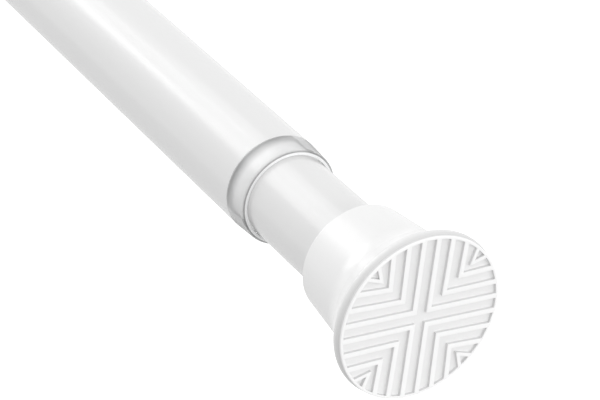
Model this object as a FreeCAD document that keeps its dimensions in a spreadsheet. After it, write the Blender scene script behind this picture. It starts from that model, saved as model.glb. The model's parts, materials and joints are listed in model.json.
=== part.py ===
"""Spring tension rod: two telescoping tubes, a twist lock and a pressure spring inside them.

The rod lies along X. The origin is the centre of the wall face of the outer tube's pad, +X runs
to the sliding end and +Z is up. Every sub-part is modelled with its own left end at x = 0 and is
placed from the sizes in the sheet. The rod is drawn locked, at its shortest length.
"""
import FreeCAD
import Part
import math
import operator
import os

import PartDesign
import Sketcher

SHEET_NAME = "Sizes"
ROD_AXIS = FreeCAD.Vector(1, 0, 0)
FACING_BACK = FreeCAD.Rotation(FreeCAD.Vector(0, 0, 1), 180)
QUARTERS = 4
HEXAGON_SIDES = 6
SQUARE_DIAGONAL = math.sqrt(2)

# Ridges of the pad's pattern, in pitches from its centre lines.
RIDGE_STEPS = (0.5, 1.5, 2.5)

# Every size that can be set by itself, in millimetres, degrees or a count.
DRIVING_SIZES = (
    ("RodLength", 406.0, "Shortest length of the rod from wall to wall"),
    ("ExposedLength", 29.6, "Bare inner tube between collar and cap at the shortest length"),
    ("OuterTubeRadius", 12.7, "Outer tube, outside radius"),
    ("InnerTubeRadius", 10.9, "Inner tube, outside radius"),
    ("TubeWall", 0.7, "Wall of both tubes"),
    ("StaticGap", 0.05, "Radial gap between pieces that are pressed or glued together"),
    ("RunningGap", 0.15, "Radial gap between pieces that turn or slide"),
    ("FaceGap", 0.1, "End gap between pieces that turn or slide"),
    ("LeadIn", 0.3, "Lead-in chamfer at sockets, spigots and bores"),
    ("CapLength", 26.8, "End cap, from the wall to its back edge"),
    ("CapBackRadius", 13.8, "End cap, outside radius at its back edge"),
    ("CapBackRound", 0.5, "End cap, rounding of its back edge"),
    ("CapWaistRadius", 15.25, "End cap, radius where the barrel turns into the flare"),
    ("CapWaistPlace", 13.5, "End cap, distance of that place from the wall"),
    ("FlareRadius", 17.0, "End cap, radius where the flare's curve becomes straight"),
    ("FlarePlace", 7.8, "End cap, distance of that place from the wall"),
    ("FlareCurve", 15.6, "End cap, radius of the flare's hollow curve"),
    ("FlangeInset", 0.05, "End cap, distance of the rounded rim's ends inside the pad's radius"),
    ("FlangeWidth", 1.6, "End cap, width of the rounded rim"),
    ("FlangeCurve", 1.0, "End cap, radius of the rim's rounding"),
    ("CapWall", 1.5, "End cap, wall around the coring pockets and of the spigot"),
    ("TubeSeat", 4.5, "Distance of the tube's end from the wall"),
    ("SpigotLength", 12.0, "Length of the cap's spigot inside its tube"),
    ("CorePockets", 6, "Number of coring pockets behind each pad"),
    ("CoreRibWidth", 1.6, "Rib between two coring pockets"),
    ("PadRadius", 19.85, "Soft pad, outside radius"),
    ("PadLip", 0.9, "Soft pad, thickness of the lip that covers the cap's front"),
    ("PadStep", 2.25, "Soft pad, width of the lip around the part sunk in the cap"),
    ("PadSeatDepth", 1.3, "Soft pad, depth of the part sunk in the cap"),
    ("PadEdgeRound", 0.25, "Soft pad, rounding of its front edge"),
    ("GrooveDepth", 0.85, "Soft pad, depth of the grooves"),
    ("PadRimWidth", 0.65, "Soft pad, width of the rim around the grooves"),
    ("RidgePitch", 3.68, "Soft pad, pitch of the ridges"),
    ("RidgeWidth", 1.15, "Soft pad, width of a ridge"),
    ("VeePlace", 11.15, "Soft pad, place of the vee ridge's point on both axes"),
    ("VeeWidth", 1.05, "Soft pad, width of the vee ridge"),
    ("VeeSlope", 15.0, "Soft pad, slope of the vee ridge's arms, in degrees"),
    ("InnerPadTurn", -6.93, "Turn of the sliding end's pad about the rod, in degrees"),
    ("CollarNose", 7.1, "Clear collar, length outside the tube"),
    ("CollarNoseRadius", 12.25, "Clear collar, radius at its front"),
    ("CollarNoseRound", 0.5, "Clear collar, rounding of its front edge"),
    ("CollarPlug", 12.0, "Clear collar, length inside the tube"),
    ("MechanismGap", 5.3, "Free space between the fixed cap's spigot and the lock shaft"),
    ("ShaftRadius", 4.0, "Lock shaft, radius"),
    ("ShaftFlat", 3.0, "Lock shaft, distance of its two flats from the axis"),
    ("ShaftTail", 3.0, "Lock shaft, length past the stop nut"),
    ("ShaftNose", 1.0, "Lock shaft, length past the end nut"),
    ("ShaftChamfer", 0.6, "Lock shaft, chamfer of its ends"),
    ("NutFlat", 6.5, "Hexagon nuts, distance of their flats from the axis"),
    ("EndNutThickness", 3.0, "End nut, thickness"),
    ("StopNutThickness", 5.0, "Stop nut, thickness"),
    ("WedgeTravel", 3.0, "Travel of the wedge nut from locked to free"),
    ("WedgeHead", 2.0, "Wedge nut, length of its head outside the sleeve"),
    ("WedgeConeLength", 14.0, "Wedge nut, length of its cone"),
    ("WedgeRibWidth", 2.2, "Wedge nut, width of the ribs that run in the sleeve's slots"),
    ("WedgeRibRadius", 11.2, "Wedge nut, radius of the ribs"),
    ("WedgeRibLength", 11.0, "Wedge nut, length of the ribs"),
    ("SleeveLength", 24.0, "Expander sleeve, length"),
    ("ConeMouthRadius", 10.3, "Expander sleeve, radius of its conical bore at the mouth"),
    ("ConeThroatRadius", 7.2, "Expander sleeve, radius of its conical bore at the bottom"),
    ("ConeDepth", 18.0, "Expander sleeve, depth of its conical bore"),
    ("SlotLength", 16.0, "Expander sleeve, length of its slots"),
    ("SlotWidth", 2.6, "Expander sleeve, width of its slots"),
    ("GripGrooves", 4, "Expander sleeve, number of grip grooves"),
    ("GripGroovePitch", 4.0, "Expander sleeve, pitch of the grip grooves"),
    ("GripGrooveDepth", 0.4, "Expander sleeve, depth of a grip groove"),
    ("ThrustWasherThickness", 1.0, "Thrust washer, thickness"),
    ("ThrustWasherRadius", 9.0, "Thrust washer, outside radius"),
    ("HubLength", 7.0, "Lock hub, length"),
    ("HubRadius", 10.0, "Lock hub, radius"),
    ("HubPinRadius", 1.5, "Cross pin through hub and shaft, radius"),
    ("SpringWasherThickness", 1.0, "Spring washers, thickness"),
    ("SpringWasherRadius", 10.4, "Spring washers, outside radius"),
    ("SpringLength", 55.0, "Pressure spring, length at rest"),
    ("SpringMeanRadius", 8.5, "Pressure spring, radius of the wire's centre line"),
    ("SpringWireRadius", 0.85, "Pressure spring, radius of its wire"),
    ("SpringActiveTurns", 5, "Pressure spring, number of working turns"),
    ("SpringEndPitch", 1.8, "Pressure spring, pitch of its closed end turns"),
    ("SpringEndInset", 0.4, "Pressure spring, centre line's distance from the ground ends"),
    ("PlugGuide", 5.0, "Tail plug, length of the guide inside washer and spring"),
    ("PlugFlange", 6.0, "Tail plug, length of the flange that runs in the outer tube"),
    ("PlugFlangeRound", 0.6, "Tail plug, rounding of the flange's free edge"),
    ("PlugSpigot", 15.0, "Tail plug, length of the spigot inside the inner tube"),
    ("StopWasherThickness", 1.2, "Stop washer, thickness"),
    ("StopWasherRadius", 8.0, "Stop washer, outside radius"),
)


class Size:
    """A size with its number and the sheet formula that gives it, so that both stay together."""

    def __init__(self, number, formula):
        self.number = float(number)
        self.formula = str(formula)

    def combined(self, other, sign, action):
        """Return this size and another one, a Size or a plain number, joined by one operation."""
        other = as_size(other)
        return Size(action(self.number, other.number), f"({self.formula} {sign} {other.formula})")

    def __add__(self, other):
        return self.combined(other, "+", operator.add)

    def __sub__(self, other):
        return self.combined(other, "-", operator.sub)

    def __mul__(self, other):
        return self.combined(other, "*", operator.mul)

    def __truediv__(self, other):
        return self.combined(other, "/", operator.truediv)

    def __neg__(self):
        return Size(-self.number, f"(-{self.formula})")


def as_size(value):
    """Return a Size as it is, and a plain number as a Size."""
    return value if isinstance(value, Size) else Size(value, repr(float(value)))


def root(size):
    """Return the square root of a size."""
    return Size(math.sqrt(size.number), f"sqrt({size.formula})")


def sine(size):
    """Return the sine of an angle in degrees."""
    return Size(math.sin(math.radians(size.number)), f"sin({size.formula})")


def cosine(size):
    """Return the cosine of an angle in degrees."""
    return Size(math.cos(math.radians(size.number)), f"cos({size.formula})")


class SizeSheet:
    """The spreadsheet of driving sizes. Each alias can be read as an attribute."""

    def __init__(self, document, rows):
        self.sheet = document.addObject("Spreadsheet::Sheet", SHEET_NAME)
        for row, (alias, number, meaning) in enumerate(rows, start=1):
            self.sheet.set(f"A{row}", meaning)
            self.sheet.set(f"B{row}", str(number))
            self.sheet.setAlias(f"B{row}", alias)
        document.recompute()

    def __getattr__(self, alias):
        return Size(self.sheet.get(alias), f"{SHEET_NAME}.{alias}")


class Outline:
    """A sketch made of closed loops whose corners are bound to the sheet."""

    def __init__(self, body, name, plane="XY_Plane", place=None):
        self.sketch = body.newObject("Sketcher::SketchObject", name)
        support = [item for item in body.Origin.OriginFeatures if item.Role == plane][0]
        self.sketch.AttachmentSupport = [(support, "")]
        self.sketch.MapMode = "FlatFace"
        if place is not None:
            self.sketch.setExpression("AttachmentOffset.Base.z", as_size(place).formula)

    def bind(self, kind, *reference, size):
        """Add one constraint with a value and tie the value to the sheet."""
        size = as_size(size)
        if size.number == 0 and kind in ("DistanceX", "DistanceY"):
            axis = -2 if kind == "DistanceX" else -1
            self.sketch.addConstraint(Sketcher.Constraint("PointOnObject", *reference[2:], axis))
            return
        index = self.sketch.addConstraint(Sketcher.Constraint(kind, *reference, size.number))
        self.sketch.setExpression(f"Constraints[{index}]", size.formula)

    def loop(self, *corners):
        """Draw a closed loop.

        A corner is (x, y), reached by a straight line, or (x, y, radius), reached by an arc. A
        positive radius bends the arc to the right of the way from corner to corner, and a
        negative one bends it to the left.
        """
        ends = []
        for corner, previous in zip(corners, corners[-1:] + corners[:-1]):
            start = point(previous)
            finish = point(corner)
            if len(corner) == 2:
                line = self.sketch.addGeometry(Part.LineSegment(start, finish), False)
                ends.append((line, 1, 2))
                continue
            arc, forward = arc_between(start, finish, corner[2].number)
            index = self.sketch.addGeometry(arc, False)
            ends.append((index, 1, 2) if forward else (index, 2, 1))
            radius = corner[2] if corner[2].number > 0 else -corner[2]
            self.bind("Radius", index, size=radius)
        for (item, _, finish), following in zip(ends, ends[1:] + ends[:1]):
            joint = Sketcher.Constraint("Coincident", item, finish, following[0], following[1])
            self.sketch.addConstraint(joint)
        for (item, _, finish), corner in zip(ends, corners):
            self.bind("DistanceX", -1, 1, item, finish, size=corner[0])
            self.bind("DistanceY", -1, 1, item, finish, size=corner[1])
        return self

    def circle(self, radius, x=0, y=0):
        """Draw a circle with its centre at (x, y)."""
        radius = as_size(radius)
        shape = Part.Circle(point((x, y)), FreeCAD.Vector(0, 0, 1), radius.number)
        index = self.sketch.addGeometry(shape, False)
        self.bind("Radius", index, size=radius)
        self.bind("DistanceX", -1, 1, index, 3, size=x)
        self.bind("DistanceY", -1, 1, index, 3, size=y)
        return self


def point(corner):
    """Return a corner of an outline as a vector."""
    return FreeCAD.Vector(as_size(corner[0]).number, as_size(corner[1]).number, 0)


def arc_between(start, finish, radius):
    """Return the short arc from start to finish, and whether it runs counter-clockwise."""
    chord = finish - start
    height = math.sqrt(radius**2 - (chord.Length / 2) ** 2)
    left = FreeCAD.Vector(-chord.y, chord.x, 0).normalize()
    centre = (start + finish) * 0.5 + left * math.copysign(height, radius)
    circle = Part.Circle(centre, FreeCAD.Vector(0, 0, 1), abs(radius))
    first, last = (start, finish) if radius > 0 else (finish, start)
    angles = [math.atan2(end.y - centre.y, end.x - centre.x) for end in (first, last)]
    return Part.ArcOfCircle(circle, *angles), radius > 0


def new_body(document, label, x=0, rotation=FreeCAD.Rotation()):
    """Start a sub-part, turned if need be. Its place along the rod is bound to the sheet."""
    body = document.addObject("PartDesign::Body", label)
    body.Label = label
    body.Placement = FreeCAD.Placement(FreeCAD.Vector(as_size(x).number, 0, 0), rotation)
    body.setExpression("Placement.Base.x", as_size(x).formula)
    return body


def feature(body, kind, name, outline, **settings):
    """Add a sketch-based feature. A setting that is a Size is bound to the sheet."""
    item = body.newObject(f"PartDesign::{kind}", name)
    item.Profile = outline.sketch
    for setting, value in settings.items():
        if isinstance(value, Size):
            item.setExpression(setting, value.formula)
        else:
            setattr(item, setting, value)
    return item


def turned(body, name, *corners):
    """Turn an outline of (place along the rod, radius) corners about the rod's axis."""
    outline = Outline(body, f"{name}Outline").loop(*corners)
    axis = (outline.sketch, ["H_Axis"])
    return feature(body, "Revolution", name, outline, ReferenceAxis=axis, Angle=360.0)


def turned_cut(body, name, *corners):
    """Cut away an outline turned about the rod's axis."""
    outline = Outline(body, f"{name}Outline").loop(*corners)
    axis = (outline.sketch, ["H_Axis"])
    return feature(body, "Groove", name, outline, ReferenceAxis=axis, Angle=360.0)


def around(body, name, originals, count, axis="N_Axis", full_angle=360.0):
    """Repeat features around an axis of the first one's sketch."""
    pattern = body.newObject("PartDesign::PolarPattern", name)
    pattern.Originals = originals
    pattern.Axis = (originals[0].Profile[0], [axis])
    pattern.Angle = full_angle
    if isinstance(count, Size):
        pattern.setExpression("Occurrences", count.formula)
    else:
        pattern.Occurrences = count
    body.Tip = pattern
    return pattern


class Layout:
    """Places along the rod, measured from the fixed wall and worked out from the sheet."""

    def __init__(self, sizes):
        self.mouth = sizes.RodLength - sizes.CapLength - sizes.ExposedLength - sizes.CollarNose
        self.spigot_end = sizes.TubeSeat + sizes.SpigotLength
        self.shaft = self.spigot_end + sizes.MechanismGap
        self.end_nut = self.shaft + sizes.ShaftNose
        end_nut_face = self.end_nut + sizes.EndNutThickness
        self.wedge = end_nut_face + sizes.FaceGap + sizes.WedgeTravel
        self.sleeve = self.wedge + sizes.WedgeHead
        self.thrust_washer = self.sleeve + sizes.SleeveLength + sizes.FaceGap
        self.hub = self.thrust_washer + sizes.ThrustWasherThickness
        self.front_washer = self.hub + sizes.HubLength
        self.spring = self.front_washer + sizes.SpringWasherThickness
        self.rear_washer = self.spring + sizes.SpringLength
        self.plug_flange = self.rear_washer + sizes.SpringWasherThickness
        self.plug = self.plug_flange - sizes.PlugGuide
        self.inner_tube = self.plug_flange + sizes.PlugFlange
        self.stop_washer = self.inner_tube + sizes.PlugSpigot + sizes.FaceGap
        self.stop_nut = self.stop_washer + sizes.StopWasherThickness
        self.shaft_end = self.stop_nut + sizes.StopNutThickness + sizes.ShaftTail


def tube(document, label, sizes, radius, start, end):
    """Build a straight round tube between two places along the rod."""
    body = new_body(document, label, x=start)
    section = Outline(body, "Section", "YZ_Plane").circle(radius).circle(radius - sizes.TubeWall)
    feature(body, "Pad", "Wall", section, Length=end - start)
    return body


def end_cap(document, label, sizes, tube_radius, **place):
    """Build a moulded end cap for one tube, its wall face at x = 0 and its socket facing +X."""
    body = new_body(document, label, **place)
    seat_floor = sizes.PadLip + sizes.PadSeatDepth
    seat_radius = sizes.PadRadius - sizes.PadStep + sizes.StaticGap
    flange_radius = sizes.PadRadius - sizes.FlangeInset
    flange_back = sizes.PadLip + sizes.FlangeWidth
    socket = tube_radius + sizes.StaticGap
    spigot = tube_radius - sizes.TubeWall - sizes.StaticGap
    spigot_end = sizes.TubeSeat + sizes.SpigotLength
    spigot_bore = spigot - sizes.CapWall
    turned(
        body,
        "Shell",
        (seat_floor, 0),
        (sizes.TubeSeat, 0),
        (sizes.TubeSeat, spigot_bore),
        (spigot_end, spigot_bore),
        (spigot_end, spigot - sizes.LeadIn),
        (spigot_end - sizes.LeadIn, spigot),
        (sizes.TubeSeat, spigot),
        (sizes.TubeSeat, socket),
        (sizes.CapLength - sizes.LeadIn, socket),
        (sizes.CapLength, socket + sizes.LeadIn),
        (sizes.CapLength, sizes.CapBackRadius - sizes.CapBackRound),
        (sizes.CapLength - sizes.CapBackRound, sizes.CapBackRadius, sizes.CapBackRound),
        (sizes.CapWaistPlace, sizes.CapWaistRadius),
        (sizes.FlarePlace, sizes.FlareRadius, -sizes.FlareCurve),
        (flange_back, flange_radius),
        (sizes.PadLip, flange_radius, sizes.FlangeCurve),
        (sizes.PadLip, seat_radius),
        (seat_floor, seat_radius),
    )
    core_inside = socket + sizes.CapWall
    core_outside = sizes.FlareRadius - sizes.CapWall
    half_rib = sizes.CoreRibWidth / 2
    step = as_size(360) / sizes.CorePockets
    near, far = [beside_rib(radius, half_rib) for radius in (core_inside, core_outside)]
    next_near, next_far = [turned_about(mirrored(spot), step) for spot in (near, far)]
    sector = Outline(body, "CoreOutline", "YZ_Plane", place=seat_floor)
    sector.loop(far, (*next_far, core_outside), next_near, (*near, -core_inside))
    depth = sizes.FlarePlace - seat_floor
    core = feature(body, "Pocket", "Core", sector, Length=depth, Reversed=True)
    around(body, "Cores", [core], sizes.CorePockets)
    return body


def beside_rib(radius, half_rib):
    """Return the place at a radius that lies half a rib's width beside the Y axis."""
    return (root(radius * radius - half_rib * half_rib), half_rib)


def mirrored(spot):
    """Return a place mirrored in the first axis of its sketch."""
    return (spot[0], -spot[1])


def turned_about(spot, angle):
    """Return a place turned about the sketch's origin by an angle in degrees."""
    x, y = spot
    return (x * cosine(angle) - y * sine(angle), x * sine(angle) + y * cosine(angle))


def grip_pad(document, label, sizes, **place):
    """Build a soft pad with its ridged wall face at x = 0 and its seat facing +X."""
    body = new_body(document, label, **place)
    seat_floor = sizes.PadLip + sizes.PadSeatDepth
    seat_radius = sizes.PadRadius - sizes.PadStep
    rim_inside = sizes.PadRadius - sizes.PadRimWidth
    turned(
        body,
        "Disc",
        (sizes.GrooveDepth, 0),
        (seat_floor, 0),
        (seat_floor, seat_radius),
        (sizes.PadLip, seat_radius),
        (sizes.PadLip, sizes.PadRadius),
        (sizes.PadEdgeRound, sizes.PadRadius),
        (0, sizes.PadRadius - sizes.PadEdgeRound, sizes.PadEdgeRound),
        (0, rim_inside),
        (sizes.GrooveDepth, rim_inside),
    )
    reach = sizes.PadRadius - sizes.PadRimWidth / 2
    chevrons = Outline(body, "ChevronOutline", "YZ_Plane")
    for step in RIDGE_STEPS:
        chevrons.loop(*chevron(sizes.RidgePitch * step, sizes.RidgeWidth, reach))
    chevrons.loop(*vee(sizes, reach))
    ridges = feature(body, "Pad", "Chevrons", chevrons, Length=sizes.GrooveDepth)
    around(body, "Quarters", [ridges], QUARTERS)
    return body


def chevron(place, width, reach):
    """Return the corners of a right-angled ridge that runs out to a circle of radius reach."""
    near = place - width / 2
    far = place + width / 2
    near_end = root(reach * reach - near * near)
    far_end = root(reach * reach - far * far)
    return (near, near), (near_end, near), (far_end, far), (far, far), (far, far_end), (near, near_end)


def vee(sizes, reach):
    """Return the corners of the sharp vee ridge that fills the corner of a quarter."""
    slope = sizes.VeeSlope
    corner = sizes.VeePlace
    half_opening = as_size(45) - slope
    inside = corner + sizes.VeeWidth / (sine(half_opening) * SQUARE_DIAGONAL)
    outer_arm = along_arm(corner, slope, reach)
    inner_arm = along_arm(inside, slope, reach)
    return (
        (corner, corner),
        outer_arm,
        inner_arm,
        (inside, inside),
        (inner_arm[1], inner_arm[0]),
        (outer_arm[1], outer_arm[0]),
    )


def along_arm(corner, slope, reach):
    """Return where a line from (corner, corner), at a slope to the first axis, meets a circle."""
    forward = corner * (cosine(slope) + sine(slope))
    length = root(forward * forward + reach * reach - corner * corner * 2) - forward
    return (corner + length * cosine(slope), corner + length * sine(slope))


def mouth_collar(document, label, sizes, layout):
    """Build the clear collar that guides the inner tube at the outer tube's mouth."""
    body = new_body(document, label, x=layout.mouth - sizes.CollarPlug)
    bore = sizes.InnerTubeRadius + sizes.RunningGap
    plug = sizes.OuterTubeRadius - sizes.TubeWall - sizes.StaticGap
    length = sizes.CollarPlug + sizes.CollarNose
    turned(
        body,
        "Ring",
        (0, bore),
        (length - sizes.LeadIn, bore),
        (length, bore + sizes.LeadIn),
        (length, sizes.CollarNoseRadius - sizes.CollarNoseRound),
        (length - sizes.CollarNoseRound, sizes.CollarNoseRadius, sizes.CollarNoseRound),
        (sizes.CollarPlug, sizes.OuterTubeRadius),
        (sizes.CollarPlug, plug),
        (sizes.LeadIn, plug),
        (0, plug - sizes.LeadIn),
    )
    return body


def two_flat_outline(body, name, radius, flat, place=None):
    """Draw a circle with two parallel flats, the section of the shaft's long part."""
    half_width = root(radius * radius - flat * flat)
    outline = Outline(body, name, "YZ_Plane", place=place)
    return outline.loop(
        (flat, half_width),
        (-flat, half_width, radius),
        (-flat, -half_width),
        (flat, -half_width, radius),
    )


def lock_shaft(document, label, sizes, layout):
    """Build the shaft: round in the lock, flat on two sides where the tail plug slides on it."""
    body = new_body(document, label, x=layout.shaft)
    round_length = layout.spring - layout.shaft
    length = layout.shaft_end - layout.shaft
    round_part = Outline(body, "RoundOutline", "YZ_Plane").circle(sizes.ShaftRadius)
    feature(body, "Pad", "RoundPart", round_part, Length=round_length)
    flats = two_flat_outline(body, "FlatOutline", sizes.ShaftRadius, sizes.ShaftFlat, round_length)
    feature(body, "Pad", "FlatPart", flats, Length=length - round_length)
    inside = sizes.ShaftRadius - sizes.ShaftChamfer
    outside = sizes.ShaftRadius + sizes.ShaftChamfer
    turned_cut(body, "NoseChamfer", (0, inside), (sizes.ShaftChamfer * 2, outside), (0, outside))
    turned_cut(
        body,
        "TailChamfer",
        (length, inside),
        (length, outside),
        (length - sizes.ShaftChamfer * 2, outside),
    )
    cross_hole(body, sizes, layout.hub + sizes.HubLength / 2 - layout.shaft)
    return body


def cross_hole(body, sizes, place):
    """Drill the hole for the cross pin through a piece."""
    hole = Outline(body, "PinHoleOutline")
    hole.circle(sizes.HubPinRadius + sizes.StaticGap, x=place)
    feature(body, "Pocket", "PinHole", hole, Type="ThroughAll", SideType="Symmetric")


def lock_hub(document, label, sizes, layout):
    """Build the hub that is pinned to the shaft and carries the spring's fixed end."""
    body = new_body(document, label, x=layout.hub)
    bore = sizes.ShaftRadius + sizes.StaticGap
    turned(
        body,
        "Hub",
        (0, bore),
        (sizes.HubLength, bore),
        (sizes.HubLength, sizes.HubRadius - sizes.LeadIn),
        (sizes.HubLength - sizes.LeadIn, sizes.HubRadius),
        (sizes.LeadIn, sizes.HubRadius),
        (0, sizes.HubRadius - sizes.LeadIn),
    )
    cross_hole(body, sizes, sizes.HubLength / 2)
    return body


def hub_pin(document, label, sizes, layout):
    """Build the cross pin, which stands upright through hub and shaft."""
    body = new_body(document, label, x=layout.hub + sizes.HubLength / 2)
    section = Outline(body, "PinOutline").circle(sizes.HubPinRadius)
    length = (sizes.HubRadius - sizes.LeadIn) * 2
    feature(body, "Pad", "Pin", section, Length=length, SideType="Symmetric")
    return body


def guide_radius(sizes):
    """Return the radius of the tail plug's guide, which fits inside the spring."""
    return sizes.SpringMeanRadius - sizes.SpringWireRadius - sizes.RunningGap


def washer(document, label, start, thickness, outside, bore):
    """Build a flat washer."""
    body = new_body(document, label, x=start)
    turned(body, "Disc", (0, bore), (thickness, bore), (thickness, outside), (0, outside))
    return body


def hexagon_nut(document, label, sizes, start, thickness):
    """Build a hexagon nut with turned-off corners, flats facing up and down."""
    body = new_body(document, label, x=start)
    corner = sizes.NutFlat / math.cos(math.pi / HEXAGON_SIDES)
    angles = [as_size(360 / HEXAGON_SIDES * step) for step in range(HEXAGON_SIDES)]
    hexagon = Outline(body, "HexagonOutline", "YZ_Plane")
    hexagon.loop(*[(corner * cosine(angle), corner * sine(angle)) for angle in angles])
    feature(body, "Pad", "Hexagon", hexagon, Length=thickness)
    bore = Outline(body, "BoreOutline", "YZ_Plane").circle(sizes.ShaftRadius + sizes.StaticGap)
    feature(body, "Pocket", "Bore", bore, Type="ThroughAll", SideType="Symmetric")
    cut = (corner - sizes.NutFlat) / 2
    turned_cut(body, "LeftCorners", (0, sizes.NutFlat), (cut, corner), (0, corner))
    turned_cut(
        body,
        "RightCorners",
        (thickness, sizes.NutFlat),
        (thickness, corner),
        (thickness - cut, corner),
    )
    return body


def expander_sleeve(document, label, sizes, layout):
    """Build the slotted sleeve that the wedge nut spreads against the outer tube's bore."""
    body = new_body(document, label, x=layout.sleeve)
    outside = sizes.OuterTubeRadius - sizes.TubeWall - sizes.FaceGap
    bore = sizes.ShaftRadius + sizes.RunningGap
    turned(
        body,
        "Sleeve",
        (0, sizes.ConeMouthRadius),
        (sizes.ConeDepth, sizes.ConeThroatRadius),
        (sizes.ConeDepth, bore),
        (sizes.SleeveLength, bore),
        (sizes.SleeveLength, outside - sizes.LeadIn),
        (sizes.SleeveLength - sizes.LeadIn, outside),
        (sizes.LeadIn, outside),
        (0, outside - sizes.LeadIn),
    )
    for number in range(round(sizes.GripGrooves.number)):
        centre = sizes.GripGroovePitch * (number + 1)
        turned_cut(
            body,
            f"GripGroove{number + 1}",
            (centre - sizes.GripGrooveDepth, outside),
            (centre, outside - sizes.GripGrooveDepth),
            (centre + sizes.GripGrooveDepth, outside),
        )
    half_slot = sizes.SlotWidth / 2
    slot = Outline(body, "SlotOutline")
    slot.loop(
        (-sizes.LeadIn, -half_slot),
        (sizes.SlotLength, -half_slot),
        (sizes.SlotLength, half_slot),
        (-sizes.LeadIn, half_slot),
    )
    slots = feature(body, "Pocket", "Slots", slot, Type="ThroughAll", SideType="Symmetric")
    around(body, "CrossedSlots", [slots], 2, axis="H_Axis", full_angle=90.0)
    return body


def wedge_nut(document, label, sizes, layout):
    """Build the cone nut that is keyed to the sleeve's slots and moved by the shaft's thread."""
    body = new_body(document, label, x=layout.wedge)
    bore = sizes.ShaftRadius + sizes.FaceGap
    slope = (sizes.ConeMouthRadius - sizes.ConeThroatRadius) / sizes.ConeDepth
    wide = sizes.ConeMouthRadius - sizes.RunningGap
    narrow = wide - slope * sizes.WedgeConeLength
    length = sizes.WedgeHead + sizes.WedgeConeLength
    turned(
        body,
        "Cone",
        (0, bore),
        (length, bore),
        (length, narrow),
        (sizes.WedgeHead, wide),
        (sizes.LeadIn, wide),
        (0, wide - sizes.LeadIn),
    )
    half_rib = sizes.WedgeRibWidth / 2
    rib = Outline(body, "RibOutline", "YZ_Plane", place=sizes.WedgeHead)
    rib.loop(
        (-half_rib, narrow - sizes.CapWall),
        (half_rib, narrow - sizes.CapWall),
        (half_rib, sizes.WedgeRibRadius),
        (-half_rib, sizes.WedgeRibRadius),
    )
    ribs = feature(body, "Pad", "Rib", rib, Length=sizes.WedgeRibLength)
    around(body, "Ribs", [ribs], QUARTERS)
    return body


def tail_plug(document, label, sizes, layout):
    """Build the plug at the inner tube's end, which slides on the shaft and bears on the spring."""
    body = new_body(document, label, x=layout.plug)
    guide = guide_radius(sizes)
    flange = sizes.OuterTubeRadius - sizes.TubeWall - sizes.RunningGap
    spigot = sizes.InnerTubeRadius - sizes.TubeWall - sizes.StaticGap
    shoulder = sizes.PlugGuide
    tube_end = shoulder + sizes.PlugFlange
    length = tube_end + sizes.PlugSpigot
    turned(
        body,
        "Plug",
        (0, 0),
        (length, 0),
        (length, spigot - sizes.LeadIn),
        (length - sizes.LeadIn, spigot),
        (tube_end, spigot),
        (tube_end, flange),
        (shoulder + sizes.PlugFlangeRound, flange),
        (shoulder, flange - sizes.PlugFlangeRound, sizes.PlugFlangeRound),
        (shoulder, guide),
        (sizes.LeadIn, guide),
        (0, guide - sizes.LeadIn),
    )
    radius = sizes.ShaftRadius + sizes.FaceGap
    bore = two_flat_outline(body, "BoreOutline", radius, sizes.ShaftFlat + sizes.FaceGap)
    feature(body, "Pocket", "Bore", bore, Type="ThroughAll", SideType="Symmetric")
    return body


def pressure_spring(document, label, sizes, layout):
    """Build the spring from half turns, each an arc of wire in its own tilted plane.

    The wire meets the next half turn square to the Z axis, so the coil is smooth all along.
    """
    radius = sizes.SpringMeanRadius.number
    wire = sizes.SpringWireRadius.number
    inset = sizes.SpringEndInset.number
    length = sizes.SpringLength.number
    end_pitch = sizes.SpringEndPitch.number
    turns = round(sizes.SpringActiveTurns.number)
    active_pitch = (length - 2 * inset - 2 * end_pitch) / turns
    advances = [end_pitch / 2] * 2 + [active_pitch / 2] * (2 * turns) + [end_pitch / 2] * 2
    halves = []
    place = inset
    for number, advance in enumerate(advances):
        side = 1 if number % 2 == 0 else -1
        halves.append(half_turn(place, advance, side, radius, wire))
        place += advance
    coil = halves[0].multiFuse(halves[1:])
    size = FreeCAD.Vector(length, 4 * radius, 4 * radius)
    between_ends = Part.makeBox(*size, FreeCAD.Vector(0, -2 * radius, -2 * radius))
    spring = document.addObject("Part::Feature", label)
    spring.Label = label
    spring.Shape = coil.common(between_ends)
    spring.setExpression("Placement.Base.x", layout.spring.formula)
    return spring


def half_turn(place, advance, side, radius, wire):
    """Return half a turn of wire that starts at +Y or -Y and climbs along X by its advance."""
    arm = math.hypot(radius, advance / 2)
    start = FreeCAD.Vector(-advance / 2, side * radius, 0).normalize()
    onward = FreeCAD.Vector(0, 0, side)
    turn = FreeCAD.Rotation(start, onward, FreeCAD.Vector(), "XYZ")
    half = Part.makeTorus(arm, wire, FreeCAD.Vector(), FreeCAD.Vector(0, 0, 1), 0, 360, 180)
    half.Placement = FreeCAD.Placement(FreeCAD.Vector(place + advance / 2, 0, 0), turn)
    return half


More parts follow.
